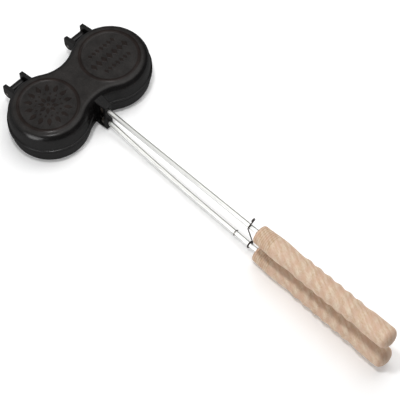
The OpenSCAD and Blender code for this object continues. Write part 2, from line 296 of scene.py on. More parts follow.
def turned(name, profile, matrix, steps=96):
    """A solid of revolution. The profile is [radius, height] from axis to axis, drawn by extruding one vertex."""
    bpy.ops.mesh.primitive_plane_add(size=1 * MM)
    obj = bpy.context.active_object
    obj.name = name
    start_editing(obj, "VERT")
    bpy.ops.mesh.select_all(action="SELECT")
    bpy.ops.mesh.merge(type="CENTER")
    bpy.ops.transform.translate(value=(profile[0][0], 0, profile[0][1]))
    for (r0, z0), (r1, z1) in zip(profile, profile[1:]):
        bpy.ops.mesh.extrude_region_move(TRANSFORM_OT_translate={"value": (r1 - r0, 0, z1 - z0)})
    bpy.ops.mesh.select_all(action="SELECT")
    bpy.ops.mesh.spin(steps=steps, angle=math.tau, center=(0, 0, 0), axis=(0, 0, 1))
    bpy.ops.mesh.select_all(action="SELECT")
    bpy.ops.mesh.remove_doubles(threshold=0.01 * MM)
    bpy.ops.mesh.normals_make_consistent(inside=False)
    stop_editing()
    obj.matrix_world = matrix
    activate(obj)
    bpy.ops.object.transform_apply(location=True, rotation=True, scale=True)
    return obj


def bar(name, points, radius, sides=4):
    """Round bar or wire along a list of points, as a curve made into a mesh."""
    bpy.ops.curve.primitive_nurbs_path_add()
    obj = bpy.context.active_object
    obj.name = name
    curve = obj.data
    curve.splines.clear()
    line = curve.splines.new("POLY")
    line.points.add(len(points) - 1)
    for spot, p in zip(line.points, points):
        spot.co = (*p, 1)
    curve.dimensions = "3D"
    curve.twist_mode = "MINIMUM"
    curve.bevel_depth = radius
    curve.bevel_resolution = sides
    curve.use_fill_caps = True
    activate(obj)
    bpy.ops.object.convert(target="MESH")
    return bpy.context.active_object


# Shapes that the pieces share

def arc(x, y, radius, start, end, count):
    """Points on an arc, angles in degrees."""
    span = [start + (end - start) * i / count for i in range(count + 1)]
    return [(x + radius * math.cos(math.radians(a)), y + radius * math.sin(math.radians(a))) for a in span]


def waist_outline(s, count=288):
    """The rim's outline: two rounds that run into a hollow waist, as evenly spaced points."""
    fillet_r = (s.round_offset ** 2 + s.waist_half ** 2 - s.rim_r ** 2) / (2 * (s.rim_r - s.waist_half))
    fillet_y = s.waist_half + fillet_r
    meet = math.degrees(math.atan2(fillet_y, s.round_offset))
    fine = arc(s.round_offset, 0, s.rim_r, meet - 180, 180 - meet, 400)
    fine += arc(0, fillet_y, fillet_r, -meet, meet - 180, 120)[1:]
    fine += arc(-s.round_offset, 0, s.rim_r, meet, 360 - meet, 400)[1:]
    fine += arc(0, -fillet_y, fillet_r, 180 - meet, meet, 120)[1:]
    reach = [0]
    for a, b in zip(fine, fine[1:]):
        reach.append(reach[-1] + math.dist(a, b))
    points = []
    k = 0
    for i in range(count):
        goal = reach[-1] * i / count
        while reach[k + 1] < goal:
            k += 1
        t = (goal - reach[k]) / (reach[k + 1] - reach[k])
        points.append(tuple(fine[k][j] + t * (fine[k + 1][j] - fine[k][j]) for j in (0, 1)))
    return points


def follow(start, route, step):
    """Points along a route of [length, turn] legs from a start of [distance, height, heading]."""
    d, z, heading = start
    points = [(d, z)]
    for leg, bend in route:
        count = max(1, math.ceil(leg / step)) if bend else 1
        for _ in range(count):
            part = bend / count
            heading += part / 2
            chord = leg / count if not bend else 2 * leg / bend * math.sin(part / 2)
            d += chord * math.cos(heading)
            z += chord * math.sin(heading)
            heading += part / 2
            points.append((d, z))
    return points, (d, z, heading)


def rod_routes(s):
    """Start and legs of the lower and the upper rod."""
    c = bpy.context.scene.iron_castings
    middle = c.shell_h + c.rim_gap / 2
    start = s.lug_front - s.plate_t - s.nut_t - 1.5 * MM
    stub = s.lug_front - start + 1 * MM
    dip = s.bend_r * s.lower_dip
    rise = s.bend_r * s.upper_tilt
    lower = [(stub, 0), (dip, -s.lower_dip), (s.lower_straight, 0), (s.lower_bow, s.lower_dip + s.lower_tilt),
             (s.reach - dip - s.lower_straight - s.lower_bow + s.grip, 0)]
    upper = [(stub, 0), (rise, s.upper_tilt), (s.reach - rise + s.grip, 0)]
    return ((start, middle - s.level, 0), lower), ((start, middle + s.level, 0), upper)


def seat_on(route, back):
    """Place and heading on a rod's last straight, at a distance back from its end."""
    _, (d, z, heading) = follow(*route, 5 * MM)
    return d - back * math.cos(heading), z - back * math.sin(heading), heading


def along_rod(seat):
    """Matrix whose z runs along the rod, away from the castings, and whose y points upwards."""
    d, z, heading = seat
    out = Vector((0, -math.cos(heading), math.sin(heading)))
    up = Vector((0, math.sin(heading), math.cos(heading)))
    side = up.cross(out)
    return Matrix(((side.x, up.x, out.x, 0), (side.y, up.y, out.y, -d), (side.z, up.z, out.z, z), (0, 0, 0, 1)))


# Castings

def wall_profile(s):
    """The outer wall from the rim up, as [inset, height] steps."""
    draft = math.degrees(s.wall_draft)
    foot = s.lip_h + s.lip_step
    rise = s.shell_h - s.shoulder_r + s.shoulder_r * math.sin(s.wall_draft) - foot
    inset = s.lip_step + rise * math.tan(s.wall_draft) + s.shoulder_w * math.cos(s.wall_draft)
    edge = 0.7 * MM
    lip = [(edge * (1 - math.cos(a)), s.lip_h - edge * (1 - math.sin(a))) for a in (0, 0.5, 1.0, 1.4)]
    neck = [(s.lip_step * 0.72, s.lip_h + 0.2 * MM), (s.lip_step * 0.93, s.lip_h + 0.75 * MM),
            (s.lip_step * 1.06, foot + 0.6 * MM)]
    shoulder = [(inset - x * s.shoulder_w, s.shell_h - s.shoulder_r * (1 - z)) for x, z in arc(0, 0, 1, draft, 90, 14)]
    return lip + neck + shoulder, inset


def casting_body(s, name):
    """One half's outer form, rim down at z = 0."""
    steps, inset = wall_profile(s)
    base = 0.5 * MM
    obj = plate(name, waist_outline(s), Matrix.Translation((0, 0, base)), steps[0][1] - base)
    start_editing(obj)
    pick(obj, lambda f: f.normal.z > 0.9)
    for (x0, z0), (x1, z1) in zip(steps, steps[1:]):
        bpy.ops.mesh.inset(thickness=x1 - x0, depth=z1 - z0, use_even_offset=True)
    pick(obj, lambda f: f.normal.z < -0.9)
    for x, z in ((0.1, 0.26), (0.3, 0.19), (0.35, 0.05)):
        bpy.ops.mesh.inset(thickness=x * MM, depth=z * MM, use_even_offset=True)
    stop_editing()
    return obj, inset


def cup_cutter(s, side):
    """The hollow of one cup, reaching a little out of the rim."""
    depth = s.shell_h - s.cup_floor
    fall = depth - s.cup_corner_r + s.cup_corner_r * math.sin(s.cup_draft)
    corner = s.cup_r - fall * math.tan(s.cup_draft) - s.cup_corner_r * math.cos(s.cup_draft)
    out = 2 * MM
    bevel = 0.6 * MM
    profile = [(0, -out), (s.cup_r + bevel + out, -out), (s.cup_r + bevel, 0), (s.cup_r, bevel)]
    profile += arc(corner, depth - s.cup_corner_r, s.cup_corner_r, math.degrees(s.cup_draft), 90, 8)
    profile += [(0, depth)]
    return turned("cup", profile, Matrix.Translation((side * s.round_offset, 0, 0)), 128)


def box(name, low, high):
    bpy.ops.mesh.primitive_cube_add(size=1, location=[(a + b) / 2 for a, b in zip(low, high)],
                                    scale=[b - a for a, b in zip(low, high)])
    obj = bpy.context.active_object
    obj.name = name
    bpy.ops.object.transform_apply(location=True, rotation=True, scale=True)
    return obj


def rod_lug(s, r, inset):
    """Half of the waist lug, rim down at z = 0."""
    rear = s.waist_half - inset
    top = r.lug_h - s.rim_gap / 2
    low = s.rim_gap / 4
    tip, root = r.lug_w / 2, r.lug_root_w / 2
    outline = [(-tip, -r.lug_front), (tip, -r.lug_front), (root, -s.waist_half), (root, -rear), (-root, -rear),
               (-root, -s.waist_half)]
    lug = plate("lug", outline, Matrix.Translation((0, 0, low)), top - low)
    soften(lug, 1.2 * MM)
    front = r.lug_front - r.plate_t
    pocket = box("pocket", (-r.lug_root_w, -front, -1 * MM), (r.lug_root_w, -front + r.pocket_d, top - r.cap_t))
    soften(pocket, 1 * MM)
    combine(lug, pocket, "DIFFERENCE")
    return lug


def rod_hole(s, r):
    level = r.level - s.rim_gap / 2
    bpy.ops.mesh.primitive_cylinder_add(vertices=48, radius=r.rod_r + 0.1 * MM, depth=r.plate_t * 3,
                                        location=(0, -r.lug_front + r.plate_t / 2, level),
                                        rotation=(math.pi / 2, 0, 0))
    return bpy.context.active_object


def ear_plate(s, h, inset, x):
    """One hinge ear of the upper casting, in place."""
    middle = s.shell_h + s.rim_gap / 2
    y, z = s.rim_r + h.reach, middle + h.rise
    root = s.rim_r - inset
    drop = math.degrees(math.asin((z - middle - s.rim_gap) / h.eye_r))
    outline = [(root, middle + s.rim_gap)] + arc(y, z, h.eye_r, 180 + drop, 360, 18)
    outline += arc(y + h.eye_r - 2.5 * MM, middle + h.ear_end_top - 2.5 * MM, 2.5 * MM, 0, 75, 4)
    outline += [(root, middle + h.ear_top)]
    turn_up = Matrix(((0, 0, 1, x - h.ear_t / 2), (1, 0, 0, 0), (0, 1, 0, 0), (0, 0, 0, 1)))
    ear = plate("ear", outline, turn_up, h.ear_t)
    soften(ear, 0.9 * MM)
    return ear


def knuckle_block(s, h, inset, x):
    """One hinge knuckle of the lower casting, in place."""
    middle = s.shell_h + s.rim_gap / 2
    y, z = s.rim_r + h.reach, middle + h.rise
    root = s.rim_r - inset
    drop = math.degrees(math.asin((h.rise + KNUCKLE_DROP) / h.knuckle_r))
    outline = [(root, middle - s.shell_h * 0.62)] + arc(y, z, h.knuckle_r, -60, 180 + drop, 28)
    outline += [(root, middle - KNUCKLE_DROP)]
    turn_up = Matrix(((0, 0, 1, x - h.knuckle_w / 2), (1, 0, 0, 0), (0, 1, 0, 0), (0, 0, 0, 1)))
    block = plate("knuckle", outline, turn_up, h.knuckle_w)
    soften(block, 0.7 * MM)
    return block


def hinge_hole(s, h):
    middle = s.shell_h + s.rim_gap / 2
    bpy.ops.mesh.primitive_cylinder_add(vertices=48, radius=h.pin_r + 0.05 * MM, depth=4 * s.rim_r,
                                        location=(0, s.rim_r + h.reach, middle + h.rise),
                                        rotation=(0, math.pi / 2, 0))
    return bpy.context.active_object


def ring_bead(s, side):
    """The raised ring on one round, with its foot a little inside the metal."""
    foot = 1.3 * MM
    sink = 0.4 * MM
    inner, outer = s.ring_r - s.ring_half_w - foot, s.ring_r + s.ring_half_w + foot
    profile = [(inner, -sink), (inner, 0)]
    count = 18
    for i in range(1, count):
        t = i / count
        swell = (1 - math.cos(math.tau * t)) / 2
        profile.append((inner + (outer - inner) * t, s.ring_h * swell))
    profile += [(outer, 0), (outer, -sink), (inner, -sink)]
    return turned("ring", profile, Matrix.Translation((side * s.round_offset, 0, s.shell_h)), 144)


def put(obj, matrix):
    """Moves a solid to its place, and turns its faces out again where the place mirrors it."""
    obj.matrix_world = matrix @ obj.matrix_world
    activate(obj)
    bpy.ops.object.transform_apply(location=True, rotation=True, scale=True)
    if matrix.determinant() < 0:
        bpy.ops.object.mode_set(mode="EDIT")
        bpy.ops.mesh.select_all(action="SELECT")
        bpy.ops.mesh.normals_make_consistent(inside=False)
        stop_editing()
    return obj


def relief(s, outline, place):
    """A low raised shape on a flat face, with sloping sides, standing a little into the metal."""
    sink = 0.3 * MM
    lift = Matrix.Translation((0, 0, s.shell_h - sink)) @ place
    shape = plate("relief", outline, lift, sink + 0.3 * MM)
    start_editing(shape)
    pick(shape, lambda f: f.normal.z > 0.9)
    bpy.ops.mesh.inset(thickness=0.5 * MM, depth=0.5 * MM, use_even_offset=True)
    stop_editing()
    return shape


def leaf_outline(near, far, half_w):
    """A leaf along x, round at its near end and pointed at its far end."""
    length_ = far - near
    side = [(near + length_ * t, half_w * math.sin(math.pi * t ** 0.7)) for t in (i / 10 for i in range(1, 10))]
    return [(near, 0)] + [(x, -y) for x, y in side] + [(far, 0)] + side[::-1]


def ornaments(s):
    """A plain wreath of leaves for the left round, and rows of lozenges for the right one."""
    wreath = []
    for near, far, half_w, count, shift in ((6, 17, 2.9, 8, 0), (25, 39, 3.5, 14, 0), (19, 23, 1.6, 14, 0.5)):
        outline = leaf_outline(near * MM, far * MM, half_w * MM)
        wreath += [relief(s, outline, Matrix.Rotation(math.tau * (i + shift) / count, 4, "Z")) for i in range(count)]
    boss = turned("boss", [(0, 0.9 * MM), (2.2 * MM, 0.7 * MM), (3.6 * MM, -0.3 * MM), (0, -0.3 * MM)],
                  Matrix.Translation((0, 0, s.shell_h)), 32)
    rows = []
    for y, half, pitch, count in ((19, 5.2, 8, 7), (0, 7.5, 11, 7), (-19, 5.2, 8, 7)):
        outline = [(-half * MM * 0.65, 0), (0, -half * MM), (half * MM * 0.65, 0), (0, half * MM)]
        rows += [relief(s, outline, Matrix.Translation(((i - (count - 1) / 2) * pitch * MM, y * MM, 0)))
                 for i in range(count)]
    left = put(merge(wreath + [boss], "wreath"), Matrix.Translation((-s.round_offset, 0, 0)))
    right = put(merge(rows, "lozenges"), Matrix.Translation((s.round_offset, 0, 0)))
    return [left, right]


def build_half(name, s, r, place, hinges):
    """One casting in its place: body, lug, hinge parts, cups and holes."""
    body, inset = casting_body(s, name)
    combine(body, rod_lug(s, r, inset), "UNION")
    put(body, place)
    for part in hinges:
        combine(body, part, "UNION")
    for side in (-1, 1):
        combine(body, put(cup_cutter(s, side), place), "DIFFERENCE")
    combine(body, put(rod_hole(s, r), place), "DIFFERENCE")
    combine(body, hinge_hole(s, bpy.context.scene.iron_hinges), "DIFFERENCE")
    return body


class BURGERIRON_OT_castings(Operator):
    """Builds both castings with their cups, lugs, hinge parts and raised rings"""

    bl_idname = "burgeriron.castings"
    bl_label = "Build castings"

    def execute(self, context):
        s, h, r = context.scene.iron_castings, context.scene.iron_hinges, context.scene.iron_rods
        inset = wall_profile(s)[1]
        iron = seasoned_cast_iron(s, context.scene.iron_finishes)
        ear_x = h.knuckle_w / 2 + h.ear_gap + h.ear_t / 2
        up = Matrix.Translation((0, 0, s.shell_h + s.rim_gap))
        down = Matrix.Translation((0, 0, s.shell_h)) @ Matrix.Scale(-1, 4, (0, 0, 1))
        ears = [ear_plate(s, h, inset, side * s.round_offset + end * ear_x) for side in (-1, 1) for end in (-1, 1)]
        upper = build_half("upper_casting", s, r, up, ears)
        for side in (-1, 1):
            combine(upper, put(ring_bead(s, side), up), "UNION")
        merge([settle(upper)] + [put(piece, up) for piece in ornaments(s)], "upper_casting")
        blocks = [knuckle_block(s, h, inset, side * s.round_offset) for side in (-1, 1)]
        lower = build_half("lower_casting", s, r, down, blocks)
        for obj, node, body in ((upper, "upper_shell", "lid"), (lower, "lower_shell", "base")):
            settle(obj)
            level_faces(obj)
            dress(obj, iron, body, node)
        return {"FINISHED"}


class BURGERIRON_OT_hinge_pins(Operator):
    """Builds the two hinge pins with their broken edges"""

    bl_idname = "burgeriron.hinge_pins"
    bl_label = "Build hinge pins"

    def execute(self, context):
        s, h = context.scene.iron_castings, context.scene.iron_hinges
        half = h.knuckle_w / 2 + h.ear_gap + h.ear_t
        y, z = s.rim_r + h.reach, s.shell_h + s.rim_gap / 2 + h.rise
        pins = []
        for side in (-1, 1):
            bpy.ops.mesh.primitive_cylinder_add(vertices=48, radius=h.pin_r, depth=2 * half,
                                                location=(side * s.round_offset, y, z), rotation=(0, math.pi / 2, 0))
            pin = bpy.context.active_object
            soften(pin, 0.5 * MM)
            pins.append(pin)
        pin = settle(merge(pins, "hinge_pin_pair"))
        dress(pin, blackened_steel("oiled_pin_steel", context.scene.iron_finishes), "lid", "hinge_pins")
        return {"FINISHED"}


class BURGERIRON_OT_rods(Operator):
    """Builds the two rods with their threaded ends, and the nuts in the lugs"""

    bl_idname = "burgeriron.rods"
    bl_label = "Build rods and nuts"

    def execute(self, context):
        r = context.scene.iron_rods
        finishes = context.scene.iron_finishes
        steel = drawn_steel("polished_rod_steel", finishes.steel)
        black = blackened_steel("blackened_nut_steel", finishes)
        for route, name, body in zip(rod_routes(r), ("lower_rod", "upper_rod"), ("base", "lid")):
            points, _ = follow(*route, 5 * MM)
            rod = bar(name + "_bar", [(0, -d, z) for d, z in points], r.rod_r, 6)
            rod = settle(merge([rod, thread(route[0], r)], name + "_bar"), 40)
            dress(rod, steel, body, name)
            dress(settle(hex_nut(route[0], r, name + "_nut_hex"), 30), black, body, name + "_nut")
        return {"FINISHED"}


class BURGERIRON_OT_handles(Operator):
    """Turns the two beech handles"""

    bl_idname = "burgeriron.handles"
    bl_label = "Turn handles"

    def execute(self, context):
        r, t = context.scene.iron_rods, context.scene.iron_handles
        for route, name, body in zip(rod_routes(r), ("lower_handle", "upper_handle"), ("base", "lid")):
            seat = seat_on(route, r.grip)
            wood = turned(name + "_beech", handle_profile(t, r), along_rod(seat), 96)
            dress(settle(wood, 32), turned_beech(name, context.scene.iron_finishes, seat, t), body, name)
        return {"FINISHED"}


class BURGERIRON_OT_latch(Operator):
    """Bends the wire latch and the wire stop on the lower rod"""

    bl_idname = "burgeriron.latch"
    bl_label = "Bend latch wires"

    def execute(self, context):
        r, w = context.scene.iron_rods, context.scene.iron_latch
        lower, upper = rod_routes(r)
        black = blackened_steel("blackened_spring_wire", context.scene.iron_finishes)
        seat = seat_on(lower, r.grip + w.back)
        front = seat_on(upper, r.grip)
        over = front[1] - (front[0] - seat[0]) * math.tan(front[2]) - seat[1]
        place = along_rod(seat)
        hook = [place @ Vector(p) for p in hook_points(w, r, over * math.cos(seat[2]))]
        wire = bar("latch_wire", hook, w.wire_r, 5)
        dress(settle(wire, 50), black, "latch", "latch_hook")
        place = along_rod(seat_on(lower, r.grip + w.stop_back))
        ring = [place @ Vector((x, y, 0)) for x, y in arc(0, 0, r.rod_r + w.stop_wire_r, 0, 350, 60)]
        stop = bar("stop_wire", ring, w.stop_wire_r, 5)
        grey = drawn_steel("drawn_stop_wire", context.scene.iron_finishes.stop)
        dress(settle(stop, 50), grey, "base", "latch_stop")
        return {"FINISHED"}


# Rods, handles and wires

def thread(start, r):
    """The rolled thread on the inner end of a rod, as close ridges."""
    d, z, heading = start
    pitch = 1.25 * MM
    turns = int((r.nut_t + 2.5 * MM) / pitch)
    profile = [(0, 0)]
    for i in range(turns):
        profile += [(r.rod_r * 0.9, i * pitch), (r.rod_r * 1.01, (i + 0.5) * pitch)]
    profile += [(0, turns * pitch)]
    return turned("thread", profile, along_rod((d + 0.01 * MM, z, heading)), 32)


def hex_nut(start, r, name):
    """A hexagon nut with chamfered corners, against the inside of the lug's front plate."""
    reach = r.nut_af / 2 / math.cos(math.radians(30))
    place = along_rod((r.lug_front - r.plate_t - r.nut_t, start[1], 0))
    outline = [(x, y) for x, y in arc(0, 0, reach, 30, 330, 5)]
    nut = plate(name, outline, place, r.nut_t)
    slope = 1.0 * MM
    flat = r.nut_af / 2 * 0.96
    cone = [(0, 0), (flat, 0), (flat + 3 * MM, slope * 1.7), (flat + 3 * MM, r.nut_t - slope * 1.7), (flat, r.nut_t), (0, r.nut_t)]
    combine(nut, turned("chamfer", cone, place, 64), "INTERSECT")
    hole = [(0, -1 * MM), (r.rod_r * 0.98, -1 * MM), (r.rod_r * 0.98, r.nut_t + 1 * MM), (0, r.nut_t + 1 * MM)]
    combine(nut, turned("hole", hole, place, 32), "DIFFERENCE")
    return nut


def ease(a, b, t):
    return a + (b - a) * (1 - math.cos(math.pi * t)) / 2


def handle_radius(t, s):
    """Radius of the handle at a distance from its front end."""
    swell = t.hollow_start * 0.55
    last = t.hollow_start + (t.hollow_count - 1) * t.hollow_pitch
    if s < swell:
        return ease(t.front_r, t.swell_r, s / swell)
    if s < t.hollow_start:
        return ease(t.swell_r, t.hollow_r, (s - swell) / (t.hollow_start - swell))
    if s < last:
        wave = (1 - math.cos(math.tau * (s - t.hollow_start) / t.hollow_pitch)) / 2
        return t.hollow_r + (t.ridge_r - t.hollow_r) * wave
    if s < last + t.hollow_pitch:
        return ease(t.hollow_r, t.end_r, (s - last) / t.hollow_pitch)
    return t.end_r


def handle_profile(t, r):
    """The turned outline from the recess round the rod to the rounded end."""
    chamfer = 2 * MM
    profile = [(0, 4 * MM), (r.rod_r + 0.5 * MM, 4 * MM), (r.rod_r + 0.5 * MM, 0.8 * MM), (r.rod_r + 1.3 * MM, 0)]
    face = handle_radius(t, 0) - chamfer
    profile += [(face, 0)] + [(x, y) for x, y in reversed(arc(face, chamfer, chamfer, 0, -75, 5))]
    groove = 0.7 * MM
    last_line = t.line_start + (t.line_count - 1) * t.line_pitch
    for i in range(t.line_count):
        at = t.line_start + i * t.line_pitch
        for k, deep in ((-1, 0), (-0.35, 0.8), (0, 1), (0.35, 0.8), (1, 0)):
            profile.append((handle_radius(t, at + k * groove) - deep * t.line_depth, at + k * groove))
    s = last_line + 3 * MM
    tail = t.overall - t.dome
    while s < tail - 1 * MM:
        profile.append((handle_radius(t, s), s))
        s += 2.2 * MM
    return profile + [(t.end_r * x, tail + t.dome * y) for x, y in arc(0, 0, 1, 0, 90, 12)]


def hook_points(w, r, reach):
    """The latch: a coil round the lower rod, a leaning arm, a bend over the upper rod and a curled tip."""
    eye = r.rod_r + w.eye_play + w.wire_r
    over = r.rod_r + w.hook_gap + w.wire_r
    lean = math.degrees(math.asin((eye + over) / reach))
    rise = math.degrees(w.tip_rise)
    coil = 500
    pitch = 2.1 * w.wire_r
    points = [(x, y, -pitch * coil * (1 - i / 130) / 360) for i, (x, y) in enumerate(arc(0, 0, eye, lean - coil, lean, 130))]
    rest = arc(0, reach, over, 180 + lean, 90 + rise, 24)
    x, y = rest[-1]
    x += w.tip_len * math.cos(w.tip_rise)
    y += w.tip_len * math.sin(w.tip_rise)
    centre = (x - w.tip_r * math.sin(w.tip_rise), y + w.tip_r * math.cos(w.tip_rise))
    rest += arc(*centre, w.tip_r, rise - 90, rise - 90 + math.degrees(w.tip_turn), 48)
    return points + [(x, y, 0) for x, y in rest]


# Materials

def add(tree, kind, inputs=None, **settings):
    """Adds a node: settings are its own, inputs are values or other nodes' outputs."""
    node = tree.nodes.new(kind)
    for key, value in settings.items():
        setattr(node, key, value)
    for key, value in (inputs or {}).items():
        if isinstance(value, bpy.types.NodeSocket):
            tree.links.new(value, node.inputs[key])
        else:
            node.inputs[key].default_value = value
    return node


def blank(name):
    material = bpy.data.materials.new(name)
    material.use_nodes = True
    material.node_tree.nodes.clear()
    return material, material.node_tree


def seasoned_cast_iron(s, colours):
    """Sand-cast iron under burnt-on oil and black oxide: glossy walls, dull grey flat faces, brown raised parts. The
    walls and shoulders are painted darker and the flat faces lighter, partly for the skin and partly as painted shade
    and painted light.
    """
    material, tree = blank("seasoned_cast_iron")
    place = add(tree, "ShaderNodeTexCoord").outputs["Object"]
    # Grains of moulding sand are about 0.5 mm; they are drawn at 1.6 mm so that they show
    sand = add(tree, "ShaderNodeTexNoise", {"Vector": place, "Scale": 1 / (1.6 * MM), "Detail": 4.0, "Roughness": 0.6})
    # Slow waves in the burnt oil, about 16 mm across
    oil = add(tree, "ShaderNodeTexNoise", {"Vector": place, "Scale": 1 / (16 * MM), "Detail": 3.0, "Roughness": 0.5})
    height = add(tree, "ShaderNodeSeparateXYZ", {0: place}).outputs[2]
    height = add(tree, "ShaderNodeMath", {0: height, 1: s.shell_h + s.rim_gap / 2}, operation="SUBTRACT").outputs[0]
    height = add(tree, "ShaderNodeMath", {0: height}, operation="ABSOLUTE").outputs[0]
    face = s.shell_h + s.rim_gap / 2
    flat = add(tree, "ShaderNodeMapRange", {"Value": height, "From Min": face - 2.2 * MM, "From Max": face - 0.3 * MM})
    raised = add(tree, "ShaderNodeMapRange", {"Value": height, "From Min": face + 0.2 * MM, "From Max": face + 0.7 * MM,
                                              "To Max": 0.8})
    # Painted light: the flat faces get the lighter colour and the walls and shoulders the darker one, partly for the
    # real skin and partly for how light falls on them
    skin = add(tree, "ShaderNodeMix", {"Factor": flat.outputs[0], 6: (*colours.iron_wall_oil_and_shade, 1), 7: (*colours.iron_flat_rubbed_and_lit, 1)},
               data_type="RGBA")
    skin = add(tree, "ShaderNodeMix", {"Factor": raised.outputs[0], 6: skin.outputs[2], 7: (*colours.iron_raised, 1)},
               data_type="RGBA")
    tone = add(tree, "ShaderNodeMath", {0: sand.outputs[0], 1: oil.outputs[0]}, operation="ADD")
    shade = add(tree, "ShaderNodeMapRange", {"Value": tone.outputs[0], "From Min": 0.7, "From Max": 1.3,
                                             "To Min": 0.62, "To Max": 1.38})
    colour = add(tree, "ShaderNodeVectorMath", {0: skin.outputs[2], "Scale": shade.outputs[0]}, operation="SCALE")
    wave = add(tree, "ShaderNodeBump", {"Height": oil.outputs[0], "Strength": 0.2, "Distance": 0.6 * MM})
    bump = add(tree, "ShaderNodeBump", {"Height": sand.outputs[0], "Strength": 0.35, "Distance": 0.2 * MM,
                                        "Normal": wave.outputs[0]})
    gloss = add(tree, "ShaderNodeMapRange", {"Value": flat.outputs[0], "To Min": 0.09, "To Max": 0.04})
    shader = add(tree, "ShaderNodeBsdfPrincipled", {"Base Color": colour.outputs[0], "Roughness": 0.5,
                                                    "Specular IOR Level": 0.0, "Normal": bump.outputs[0],
                                                    "Coat Weight": gloss.outputs[0], "Coat Roughness": 0.25,
                                                    "Coat IOR": 2.4,
                                                    "Coat Normal": wave.outputs[0]})
    add(tree, "ShaderNodeOutputMaterial", {"Surface": shader.outputs[0]})
    return material


def drawn_steel(name, colour):
    """Stainless bar or wire drawn through a die and buffed: bright, with a soft edge to what it mirrors."""
    material, tree = blank(name)
    place = add(tree, "ShaderNodeTexCoord").outputs["Object"]
    # Handling dulls the bar in patches about 30 mm long
    dull = add(tree, "ShaderNodeTexNoise", {"Vector": place, "Scale": 1 / (30 * MM), "Detail": 2.0})
    rough = add(tree, "ShaderNodeMapRange", {"Value": dull.outputs[0], "To Min": 0.28, "To Max": 0.38})
    shader = add(tree, "ShaderNodeBsdfPrincipled", {"Base Color": (*colour, 1), "Metallic": 1.0,
                                                    "Roughness": rough.outputs[0]})
    add(tree, "ShaderNodeOutputMaterial", {"Surface": shader.outputs[0]})
    return material


